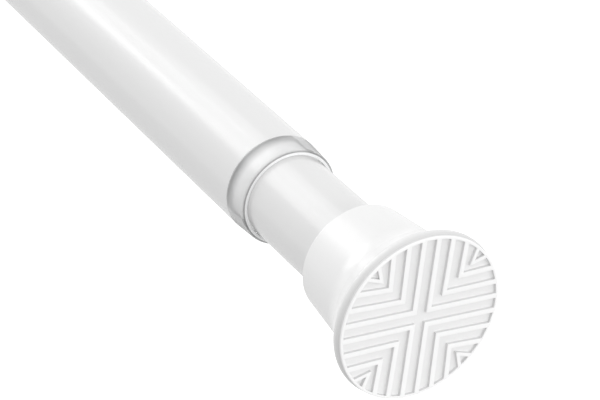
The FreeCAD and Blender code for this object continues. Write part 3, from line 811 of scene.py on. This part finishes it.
class Surface:
    """A mesh under construction: grids and flat fills, welded into one skin at the end."""

    def __init__(self, frame: "Frame", name: str) -> None:
        """Start an empty surface.

        Args:
            frame: The fixed frame.
            name: The object's name.
        """
        self.frame = frame
        self.name = name
        self.mesh = bmesh.new()

    def grid(self, points: np.ndarray, closed_rows: bool) -> list[Loop]:
        """Add a grid of quads whose columns go round.

        Args:
            points: An array of shape (rows, columns, 3).
            closed_rows: Whether the last row joins the first.

        Returns:
            The edges of the first row and of the last row.
        """
        rows, columns = points.shape[:2]
        part = bpy.data.meshes.new(self.name)
        index = np.arange(rows * columns).reshape(rows, columns)
        below = index if closed_rows else index[:-1]
        above = np.roll(index, -1, 0) if closed_rows else index[1:]
        quads = np.stack([below, np.roll(below, -1, 1), np.roll(above, -1, 1), above], 2)
        part.from_pydata(points.reshape(-1, 3), [], quads.reshape(-1, 4).tolist())
        before = len(self.mesh.verts)
        self.mesh.from_mesh(part)
        bpy.data.meshes.remove(part)
        self.mesh.verts.ensure_lookup_table()
        ends = []
        for start in (before, before + (rows - 1) * columns):
            loop = [self.mesh.verts[start + number] for number in range(columns)]
            pairs = zip(loop, loop[1:] + loop[:1])
            ends.append([self.mesh.edges.get(pair) for pair in pairs])
        return ends

    def turned(self, corners: tuple[Corner, ...], closed: bool) -> list[Loop]:
        """Add a turned outline: each of its (place, radius) points carried round the X axis.

        Args:
            corners: The outline's corners.
            closed: Whether the last one joins the first.

        Returns:
            The edges of the first ring and of the last ring.
        """
        points = outline_points(corners, closed)
        angles = np.arange(ROUND_SEGMENTS) * TURN / ROUND_SEGMENTS
        x = np.repeat(points[:, :1], ROUND_SEGMENTS, 1)
        y, z = points[:, 1:] * np.cos(angles), points[:, 1:] * np.sin(angles)
        return self.grid(np.stack([x, y, z], 2), closed)

    def fill(self, *loops: Loop) -> None:
        """Fill a flat region between closed loops, the first one round the others.

        Args:
            loops: The edges of each loop.
        """
        edges = [edge for loop in loops for edge in loop]
        bmesh.ops.triangle_fill(self.mesh, use_beauty=True, edges=edges)

    def sink(self, rim: Loop, outlines: Iterable[np.ndarray], levels: Pairs) -> None:
        """Fill a flat face and sink pockets into it.

        Args:
            rim: The edges round the face.
            outlines: Counter-clockwise (Y, Z) points of each pocket.
            levels: (distance outwards, depth) pairs of the pockets' walls.
        """
        tops = []
        for outline in outlines:
            top, bottom = self.grid(walls_between(outline, levels), False)
            self.fill(bottom)
            tops.append(top)
        self.fill(rim, *tops)

    def place(self, matrix: np.ndarray) -> None:
        """Move the whole surface by a 4 by 4 matrix."""
        bmesh.ops.transform(self.mesh, matrix=Matrix(matrix.tolist()), verts=self.mesh.verts)

    def piece(self, body: Body, slot: Slot, *nodes: str) -> bpy.types.Object:
        """Weld the surface, point its faces outwards and make it a piece of the rod.

        Args:
            body: The body that it rides on.
            slot: Its finish in the record.
            nodes: The nodes of the frame that it stands for.

        Returns:
            The finished object.
        """
        bmesh.ops.remove_doubles(self.mesh, verts=self.mesh.verts, dist=WELD_DISTANCE)
        bmesh.ops.dissolve_degenerate(self.mesh, edges=self.mesh.edges, dist=WELD_DISTANCE)
        bmesh.ops.recalc_face_normals(self.mesh, faces=self.mesh.faces)
        data = bpy.data.meshes.new(self.name)
        self.mesh.to_mesh(data)
        self.mesh.free()
        data.materials.append(self.frame.materials[slot])
        data.shade_smooth()
        data.set_sharp_from_angle(angle=SHARP_ANGLE)
        made = scene_object(self.name, data)
        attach(made, body.value)
        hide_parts(*nodes)
        LOG.info("%s: %d faces on %s", self.name, len(data.polygons), body.value)
        return made


# The rod's pieces


@dataclass(frozen=True)
class RodSizes:
    """Sizes that several pieces share, in metres."""

    tube_wall: float = 0.7 * MM
    tube_seat: float = 4.5 * MM
    static_gap: float = 0.05 * MM
    running_gap: float = 0.15 * MM
    pad_lip: float = 0.9 * MM
    pad_seat_radius: float = 17.6 * MM
    pad_seat_depth: float = 1.3 * MM
    lead_in: float = 0.3 * MM

    @property
    def seat_floor(self) -> float:
        """Distance of the pad's back from the wall."""
        return self.pad_lip + self.pad_seat_depth


class Frame:
    """The fixed frame: where its pieces lie and which materials they get."""

    def __init__(self, loaded: dict) -> None:
        """Keep the loaded frame and make one material for each finish.
        """
        self.nodes = loaded["nodes"]
        subparts = loaded["record"]["subparts"]
        self.slots = {item["node"]: Slot(item["material_slot"]) for item in subparts}
        self.sizes = RodSizes()
        self.rod_length = self.span("inner_grip_pad")[1]
        looks = finishes(self.rod_length, self.span("outer_tube")[1], self.span("mouth_collar")[1])
        self.materials = {slot: finish.material() for slot, finish in looks.items()}

    def span(self, node: str) -> tuple[float, float]:
        """Return where a node begins and ends along the rod."""
        low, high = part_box(node)
        return low[0], high[0]

    def radius(self, node: str) -> float:
        """Return half a node's width across the rod, along Z."""
        low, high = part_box(node)
        return (high[2] - low[2]) / 2

    def finish_rest(self) -> None:
        """Give the pieces that keep the frame's own meshes their materials."""
        for name, node in self.nodes.items():
            if node.hide_render:
                continue
            node.data.materials.clear()
            node.data.materials.append(self.materials[self.slots[name]])
            LOG.info("%s: keeps the frame's mesh", name)


@dataclass
class PaintedTube:
    """One of the two painted steel tubes.

    Attributes:
        frame: The fixed frame.
        body: The body that it rides on.
        edge: Rounding of its cut ends.
    """

    frame: Frame
    body: Body
    edge: float = 0.12 * MM

    def build(self) -> None:
        """Build the tube: a closed outline of its wall, turned about the rod's axis."""
        node = f"{self.body.value}_tube"
        start, finish = self.frame.span(node)
        radius = self.frame.radius(node)
        bore = radius - self.frame.sizes.tube_wall
        ends = ((start, bore), (finish, bore), (finish, radius), (start, radius))
        surface = Surface(self.frame, f"{node}_skin")
        surface.turned(tuple(Corner(x, r, self.edge) for x, r in ends), True)
        surface.piece(self.body, Slot.PAINT, node)


@dataclass
class MouthCollar:
    """The clear collar in the outer tube's mouth.

    Attributes:
        frame: The fixed frame.
        nose_radius: Radius at the collar's front.
        nose_round: Rounding of the front's outer edge.
        lip_round: Rounding of the front's inner edge.
        plug_length: Length inside the outer tube.
        shoulder_edge: Rounding of the shoulder that meets the tube's end.
    """

    frame: Frame
    nose_radius: float = 12.25 * MM
    nose_round: float = 0.8 * MM
    lip_round: float = 0.06 * MM
    plug_length: float = 12.0 * MM
    shoulder_edge: float = 0.1 * MM

    def build(self) -> None:
        """Build the collar: plug, shoulder and tapered nose as one turned outline."""
        sizes = self.frame.sizes
        start, finish = self.frame.span("mouth_collar")
        radius = self.frame.radius("outer_tube")
        bore = self.frame.radius("inner_tube") + sizes.running_gap
        plug = radius - sizes.tube_wall - sizes.static_gap
        shoulder = start + self.plug_length
        corners = (
            Corner(start, bore),
            Corner(finish, bore, self.lip_round),
            Corner(finish, self.nose_radius, self.nose_round),
            Corner(shoulder, radius, self.shoulder_edge),
            Corner(shoulder, plug),
            Corner(start, plug, sizes.lead_in),
        )
        surface = Surface(self.frame, "mouth_collar_skin")
        surface.turned(corners, True)
        surface.piece(Body.OUTER, Slot.CLEAR, "mouth_collar")


@dataclass
class EndCap:
    """A flared end cap with a socket for its tube and coring pockets behind the pad.

    Attributes:
        frame: The fixed frame.
        end: Which end it sits on.
    """

    frame: Frame
    end: End
    length: float = 26.8 * MM
    back_radius: float = 13.8 * MM
    back_round: float = 0.5 * MM
    waist_radius: float = 15.25 * MM
    waist_place: float = 13.5 * MM
    flare_radius: float = 17.0 * MM
    flare_place: float = 7.8 * MM
    flare_curve: float = 15.6 * MM
    flange_radius: float = 19.8 * MM
    flange_width: float = 2.2 * MM
    flange_curve: float = 1.71 * MM
    wall: float = 1.5 * MM
    spigot_length: float = 12.0 * MM
    pocket_count: int = 6
    rib_width: float = 1.6 * MM

    @property
    def tube_radius(self) -> float:
        """Outside radius of its tube."""
        return self.frame.radius(f"{self.end.value}_tube")

    def corners(self) -> tuple[Corner, ...]:
        """Return the outline from the web's middle, over spigot, socket and flare, to the seat.

        Returns:
            The outline's corners.
        """
        sizes = self.frame.sizes
        seat_radius = sizes.pad_seat_radius + sizes.static_gap
        socket = self.tube_radius + sizes.static_gap
        spigot = self.tube_radius - sizes.tube_wall - sizes.static_gap
        spigot_end = sizes.tube_seat + self.spigot_length
        return (
            Corner(sizes.tube_seat, 0.0),
            Corner(sizes.tube_seat, spigot - self.wall),
            Corner(spigot_end, spigot - self.wall),
            Corner(spigot_end, spigot, sizes.lead_in),
            Corner(sizes.tube_seat, spigot),
            Corner(sizes.tube_seat, socket),
            Corner(self.length, socket, sizes.lead_in),
            Corner(self.length, self.back_radius, self.back_round),
            Corner(self.waist_place, self.waist_radius),
            Corner(self.flare_place, self.flare_radius, bend=-self.flare_curve),
            Corner(sizes.pad_lip + self.flange_width, self.flange_radius),
            Corner(sizes.pad_lip, self.flange_radius, bend=self.flange_curve),
            Corner(sizes.pad_lip, seat_radius),
            Corner(sizes.seat_floor, seat_radius),
        )

    def pocket(self, number: int) -> np.ndarray:
        """Return one coring pocket's outline, a sector between two ribs.

        Its sides lie half a rib from a radius, so their angle at a circle of radius R is
        asin(half rib / R) from it. The two arcs run between the sides.

        Args:
            number: Which pocket.

        Returns:
            An array of (Y, Z) points.
        """
        inside = self.tube_radius + self.frame.sizes.static_gap + self.wall
        outside = self.flare_radius - self.wall
        step = TURN / self.pocket_count
        share = np.linspace(0, 1, POCKET_STEPS)
        arcs = []
        for radius, along in ((outside, share), (inside, share[::-1])):
            margin = math.asin(self.rib_width / 2 / radius)
            angles = number * step + margin + (step - 2 * margin) * along
            arcs.append(radius * np.stack([np.cos(angles), np.sin(angles)], 1))
        return np.vstack(arcs)

    def build(self) -> None:
        """Build the cap: its turned shell, its seat's floor and the pockets in that floor."""
        surface = Surface(self.frame, f"{self.end.name.lower()}_cap_skin")
        floor = surface.turned(self.corners(), False)[1]
        levels = ((0.0, self.frame.sizes.seat_floor), (0.0, self.flare_place))
        surface.sink(floor, map(self.pocket, range(self.pocket_count)), levels)
        surface.place(end_matrix(self.end, self.frame.rod_length))
        surface.piece(Body(self.end.value), Slot.PLASTIC, f"{self.end.value}_end_cap")


@dataclass
class GripPad:
    """A soft pad: a disc with right-angled ridges in each quarter and a sharp vee at its corner.

    Attributes:
        frame: The fixed frame.
        end: Which end it sits on.
        turn: Turn of its pattern about the rod, in radians.
        corner_pulls: How far each ridge's corner is pulled towards the middle, along both axes.
        vee_place: Place of the vee's corner on both axes, before its own pull.
        vee_slope: Slope of the vee's arms.
    """

    frame: Frame
    end: End
    turn: float = 0.0
    radius: float = 19.85 * MM
    edge_round: float = 0.25 * MM
    rim_width: float = 0.65 * MM
    groove_depth: float = 0.85 * MM
    ridge_pitch: float = 3.68 * MM
    ridge_width: float = 1.15 * MM
    corner_pulls: tuple[float, ...] = (0.05 * MM, 0.28 * MM, 0.35 * MM)
    vee_place: float = 11.15 * MM
    vee_width: float = 0.85 * MM
    vee_slope: float = math.radians(13)
    vee_pull: float = 0.3 * MM
    top_round: float = 0.08 * MM
    floor_round: float = 0.08 * MM

    @property
    def rim_inside(self) -> float:
        """Radius of the grooves' ends."""
        return self.radius - self.rim_width

    def rim_arc(self, start: np.ndarray, finish: np.ndarray) -> np.ndarray:
        """Return the points between two places on the rim, counter-clockwise.

        Args:
            start: First place.
            finish: Last place.

        Returns:
            An array of points, both places included.
        """
        first = math.atan2(start[1], start[0])
        sweep = (math.atan2(finish[1], finish[0]) - first) % TURN
        steps = max(2, math.ceil(sweep / RIM_STEP))
        angles = first + sweep * np.arange(steps + 1) / steps
        return self.rim_inside * np.stack([np.cos(angles), np.sin(angles)], 1)

    def rim_place(self, across: float) -> np.ndarray:
        """Return where a line at a distance beside the first axis meets the rim."""
        return np.array([math.sqrt(self.rim_inside**2 - across**2), across])

    def vee_end(self, corner: float) -> np.ndarray:
        """Return where the lower arm of a vee with its point at (corner, corner) meets the rim.

        The arm is corner + t (cos slope, sin slope), and t solves |arm| = rim radius.

        Args:
            corner: Place of the vee's point on both axes.

        Returns:
            The place on the rim.
        """
        direction = np.array([math.cos(self.vee_slope), math.sin(self.vee_slope)])
        start = np.array([corner, corner])
        forward = start @ direction
        reach = math.sqrt(forward**2 + self.rim_inside**2 - start @ start) - forward
        return start + reach * direction

    def quarter(self) -> list[np.ndarray]:
        """Return the outlines of one quarter's grooves, apart from the cross in the middle.

        Returns:
            Counter-clockwise outlines.
        """
        places = (np.arange(len(self.corner_pulls)) + 0.5) * self.ridge_pitch
        near, far = places - self.ridge_width / 2, places + self.ridge_width / 2
        corners = [*(near - self.corner_pulls), self.vee_place - self.vee_pull]
        ends = [*map(self.rim_place, near), self.vee_end(self.vee_place)]
        lows, low_ends = far - self.corner_pulls, map(self.rim_place, far)
        outlines = list(map(self.angle_groove, lows, low_ends, corners[1:], ends[1:]))
        half_opening = math.pi / 4 - self.vee_slope
        vee_inside = self.vee_place + self.vee_width / math.sin(half_opening) / math.sqrt(2)
        inner_end = self.vee_end(vee_inside)
        tip = np.full((1, 2), vee_inside - self.vee_pull)
        outlines.append(np.vstack([tip, self.rim_arc(inner_end, inner_end[::-1])]))
        return outlines

    def angle_groove(
        self, low: float, low_end: np.ndarray, high: float, high_end: np.ndarray
    ) -> np.ndarray:
        """Return the outline of a groove between two nested angles.

        Args:
            low: Place of the inner angle's corner on both axes.
            low_end: Where its lower side meets the rim.
            high: Place of the outer angle's corner on both axes.
            high_end: Where its lower side meets the rim.

        Returns:
            A counter-clockwise outline.
        """
        onward = self.rim_arc(low_end, high_end)
        back = self.rim_arc(high_end[::-1], low_end[::-1])
        return np.vstack([[[low, low]], onward, [[high, high]], back])

    def cross(self) -> np.ndarray:
        """Return the outline of the cross-shaped groove through the middle.

        Returns:
            A counter-clockwise outline.
        """
        half = (self.ridge_pitch - self.ridge_width) / 2
        end = self.rim_place(half)
        corner = half - self.corner_pulls[0]
        arm = np.vstack([self.rim_arc(end * [1, -1], end), [[corner, corner]]])
        return np.vstack([arm @ turned_by(quarter) for quarter in range(4)])

    def build(self) -> None:
        """Build the pad: its turned side and back, its flat ridge tops and its grooves."""
        sizes = self.frame.sizes
        corners = (
            Corner(0.0, self.radius - 2 * self.edge_round),
            Corner(0.0, self.radius, self.edge_round),
            Corner(sizes.pad_lip, self.radius, self.floor_round),
            Corner(sizes.pad_lip, sizes.pad_seat_radius),
            Corner(sizes.seat_floor, sizes.pad_seat_radius, self.floor_round),
            Corner(sizes.seat_floor, 0.0),
        )
        surface = Surface(self.frame, f"{self.end.name.lower()}_pad_skin")
        rim = surface.turned(corners, False)[0]
        grooves = [self.cross()]
        for quarter in range(4):
            grooves.extend(outline @ turned_by(quarter) for outline in self.quarter())
        surface.sink(rim, grooves, self.wall_levels())
        surface.place(end_matrix(self.end, self.frame.rod_length, self.turn))
        surface.piece(Body(self.end.value), Slot.RUBBER, f"{self.end.value}_grip_pad")

    def wall_levels(self) -> Pairs:
        """Return a groove wall's section: a rounded top edge, the wall and a rounded foot.

        The top edge follows a quarter circle outside the groove's outline, and the foot follows
        one inside it.

        Returns:
            (distance outwards, depth) pairs.
        """
        angles = np.linspace(0, math.pi / 2, WALL_STEPS)
        top = np.stack([1 - np.sin(angles), 1 - np.cos(angles)], 1) * self.top_round
        foot = np.stack([np.cos(angles) - 1, np.sin(angles) - 1], 1) * self.floor_round
        foot[:, 1] += self.groove_depth
        return tuple(map(tuple, np.vstack([top, foot])))


@dataclass
class PressureSpring:
    """The compression spring between the lock and the inner tube.

    Attributes:
        frame: The fixed frame.
        mean_radius: Radius of the wire's centre line.
        wire_radius: Radius of the wire.
        working_turns: Turns between the closed ends.
        end_pitch: Pitch of the closed end turns.
        end_inset: Distance of the centre line's ends from the ground faces.
        travel: How far the joint shortens it.
        turn_steps: Rows of points in each turn.
        wire_steps: Points round the wire.
    """

    frame: Frame
    mean_radius: float = 8.5 * MM
    wire_radius: float = 0.85 * MM
    working_turns: int = 5
    end_pitch: float = 1.8 * MM
    # travel: How far the joint shortens it. Not used.
    end_inset: float = 0.4 * MM
    travel: float = 28 * MM
    turn_steps: int = 40
    wire_steps: int = 14

    def coil(self, start: float, finish: float) -> np.ndarray:
        """Return the coil's grid.

        The centre line goes round the X axis at the mean radius, and its place along X grows with
        the turns: slowly in the first and last turn, evenly between them. Round it goes the wire's
        circle, spanned by the outward direction and X. Both ends are ground flat, so no point lies
        beyond the spring's two faces.

        Args:
            start: Where the spring begins, along the rod.
            finish: Where it ends.

        Returns:
            An array of shape (rows, points round the wire, 3).
        """
        last = self.working_turns + 2
        turns = np.linspace(0, last, last * self.turn_steps + 1)
        first, end = start + self.end_inset, finish - self.end_inset
        stops = (first, first + self.end_pitch, end - self.end_pitch, end)
        middle = np.interp(turns, (0, 1, last - 1, last), stops)[:, None]
        angles = (turns * TURN)[:, None]
        round_wire = np.arange(self.wire_steps) * TURN / self.wire_steps
        radius = self.mean_radius + self.wire_radius * np.cos(round_wire)
        place = np.clip(middle + self.wire_radius * np.sin(round_wire), start, finish)
        return np.stack([place, radius * np.cos(angles), radius * np.sin(angles)], 2)

    def build(self) -> None:
        """Build the spring."""
        start, finish = self.frame.span("pressure_spring")
        surface = Surface(self.frame, "pressure_spring_wire")
        for loop in surface.grid(self.coil(start, finish), False):
            surface.fill(loop)
        made = surface.piece(Body.SHAFT, Slot.SPRING, "pressure_spring")
        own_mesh(made)


# The studio


@dataclass(frozen=True)
class SoftLamp:
    """A soft rectangular lamp that points at a place on the rod.

    Attributes:
        name: The lamp's name.
        azimuth: Direction from the rod, in degrees about Z from +X.
        elevation: Height above the horizon, in degrees.
        distance: Distance from the rod.
        width: Width.
        height: Height.
        radiance: Brightness of its face, where 1 is white.
    """

    name: str
    azimuth: float
    elevation: float
    distance: float
    width: float
    height: float
    radiance: float


@dataclass
class Studio:
    """Camera, lamps, floor and world of the picture.

    Attributes:
        frame: The fixed frame.
        camera_from_pad: The camera's place from the middle of the sliding pad.
        camera_elevation: How far down the camera looks.
        camera_heading: Its turn about Z.
        floor_drop: Height of the rod above the floor.
        ambient: Strength of the world's light.
        floor_shade: The floor's colour.
        floor_glow: What the floor adds where it is seen, so that it looks white.
        glow_reach: Distance on the floor that counts as 1 in its mirrored glow.
        glow_shares: (share of that distance, share of the glow that glossy surfaces mirror) pairs.
        lamps: The lamps.
    """

    frame: Frame
    camera_from_pad: tuple[float, float, float] = (358.6 * MM, -235.7 * MM, 293.9 * MM)
    camera_elevation: float = math.radians(31.693)
    camera_heading: float = math.radians(60.113)
    lens: float = 146.37
    sensor: float = 36.0
    lens_shift: tuple[float, float] = (-0.0003, 0.0019)
    floor_drop: float = 0.55
    floor_size: float = 9.0
    ambient: float = 0.81
    floor_shade: float = 0.5
    floor_glow: float = 0.75
    glow_reach: float = 2.4
    glow_shares: Pairs = ((0.0, 0.6), (0.65, 0.6), (0.85, 1.0))
    lamps: tuple[SoftLamp, ...] = (
        SoftLamp("overhead", -90.0, 64.0, 1.4, 1.6, 0.45, 0.7),
        SoftLamp("front", 0.0, 12.0, 1.4, 1.0, 0.5, 2.7),
        SoftLamp("front_right", 40.0, 15.0, 1.4, 1.0, 0.5, 2.1),
        SoftLamp("strip_right", 172.0, 42.0, 1.6, 0.45, 0.4, 1.2),
        SoftLamp("strip_middle", -170.0, 41.0, 1.6, 0.45, 0.4, 1.7),
        SoftLamp("strip_left", -152.0, 34.0, 1.6, 0.5, 0.4, 1.8),
        SoftLamp("back", -170.0, 17.0, 1.6, 0.7, 0.85, 2.1),
    )

    def build(self) -> None:
        """Set up the whole studio."""
        self.add_camera()
        self.add_floor()
        self.set_world()
        for lamp in self.lamps:
            self.add_lamp(lamp)
        bpy.context.scene.view_settings.view_transform = "Standard"

    def add_camera(self) -> None:
        """Add the camera at the photograph's viewing angle, level, seen from the sliding end."""
        data = bpy.data.cameras.new("camera")
        data.lens = self.lens
        data.sensor_width = self.sensor
        data.sensor_fit = "HORIZONTAL"
        data.shift_x, data.shift_y = self.lens_shift
        data.clip_start = 0.01
        data.clip_end = 50.0
        camera = scene_object("camera", data)
        camera.location = self.pad_place + self.camera_from_pad
        camera.rotation_euler = (math.pi / 2 - self.camera_elevation, 0.0, self.camera_heading)
        bpy.context.scene.camera = camera

    @property
    def pad_place(self) -> np.ndarray:
        """Middle of the sliding pad."""
        return np.array([self.frame.rod_length, 0.0, 0.0])

    def add_floor(self) -> None:
        """Add the pale floor. It glows a little to the camera, and still takes the shadow."""
        half = self.floor_size / 2
        corners = [(-half, -half), (half, -half), (half, half), (-half, half)]
        data = bpy.data.meshes.new("floor")
        data.from_pydata([(*corner, -self.floor_drop) for corner in corners], [], [(0, 1, 2, 3)])
        scene_object("floor", data)
        material = bpy.data.materials.new("pale_floor")
        material.use_nodes = True
        graph = Graph(material.node_tree)
        paper = graph.node("ShaderNodeBsdfDiffuse", Color=(*[self.floor_shade] * 3, 1.0)).outputs[0]
        glow = graph.node("ShaderNodeEmission", Color=WHITE, Strength=self.floor_glow).outputs[0]
        both = graph.node("ShaderNodeAddShader", n0=paper, n1=glow).outputs[0]
        # The glow that glossy surfaces mirror is weaker within reach of the rod: a painted shade on
        # the floor, seen in reflections.
        along, across, _ = graph.place_parts()
        distance = (along * along + across * across).root()
        camera, glossy = graph.ray_kinds()
        mirrored = glossy * graph.ramp(distance * (1 / self.glow_reach), self.glow_shares)
        shader = graph.node("ShaderNodeMixShader", n0=camera.most(mirrored), n1=paper, n2=both)
        graph.node("ShaderNodeOutputMaterial", Surface=shader.outputs[0])
        data.materials.append(material)

    def set_world(self) -> None:
        """Make the world white where it is seen, and a plain soft light elsewhere."""
        world = bpy.data.worlds.new("world")
        world.use_nodes = True
        graph = Graph(world.node_tree)
        camera, glossy = graph.ray_kinds()
        strength = self.ambient + camera.most(glossy) * (1.0 - self.ambient)
        shader = graph.node("ShaderNodeBackground", Color=WHITE, Strength=strength)
        graph.node("ShaderNodeOutputWorld", Surface=shader.outputs[0])
        bpy.context.scene.world = world

    def add_lamp(self, lamp: SoftLamp) -> None:
        """Add one soft lamp.

        A lamp whose face has an even radiance L and an area A has a power of pi A L.

        Args:
            lamp: The lamp's place, size and brightness.
        """
        data = bpy.data.lights.new(lamp.name, "AREA")
        data.shape = "RECTANGLE"
        data.size = lamp.width
        data.size_y = lamp.height
        data.energy = math.pi * lamp.width * lamp.height * lamp.radiance
        azimuth, elevation = math.radians(lamp.azimuth), math.radians(lamp.elevation)
        level, rise = math.cos(elevation), math.sin(elevation)
        toward = np.array([level * math.cos(azimuth), level * math.sin(azimuth), rise])
        made = scene_object(lamp.name, data)
        made.location = self.pad_place + toward * lamp.distance
        made.rotation_euler = (math.pi / 2 - elevation, 0.0, azimuth + math.pi / 2)


def main() -> None:
    """Load the frame, dress the rod and set up the studio."""
    logging.basicConfig(level=logging.INFO, format="%(message)s")
    frame = Frame(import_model())
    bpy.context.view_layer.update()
    pieces = (
        PaintedTube(frame, Body.OUTER),
        PaintedTube(frame, Body.INNER),
        MouthCollar(frame),
        EndCap(frame, End.FIXED),
        EndCap(frame, End.SLIDING),
        GripPad(frame, End.FIXED),
        GripPad(frame, End.SLIDING, turn=PAD_TURN),
        PressureSpring(frame),
    )
    for piece in pieces:
        piece.build()
    frame.finish_rest()
    Studio(frame).build()


if __name__ == "__main__":
    main()
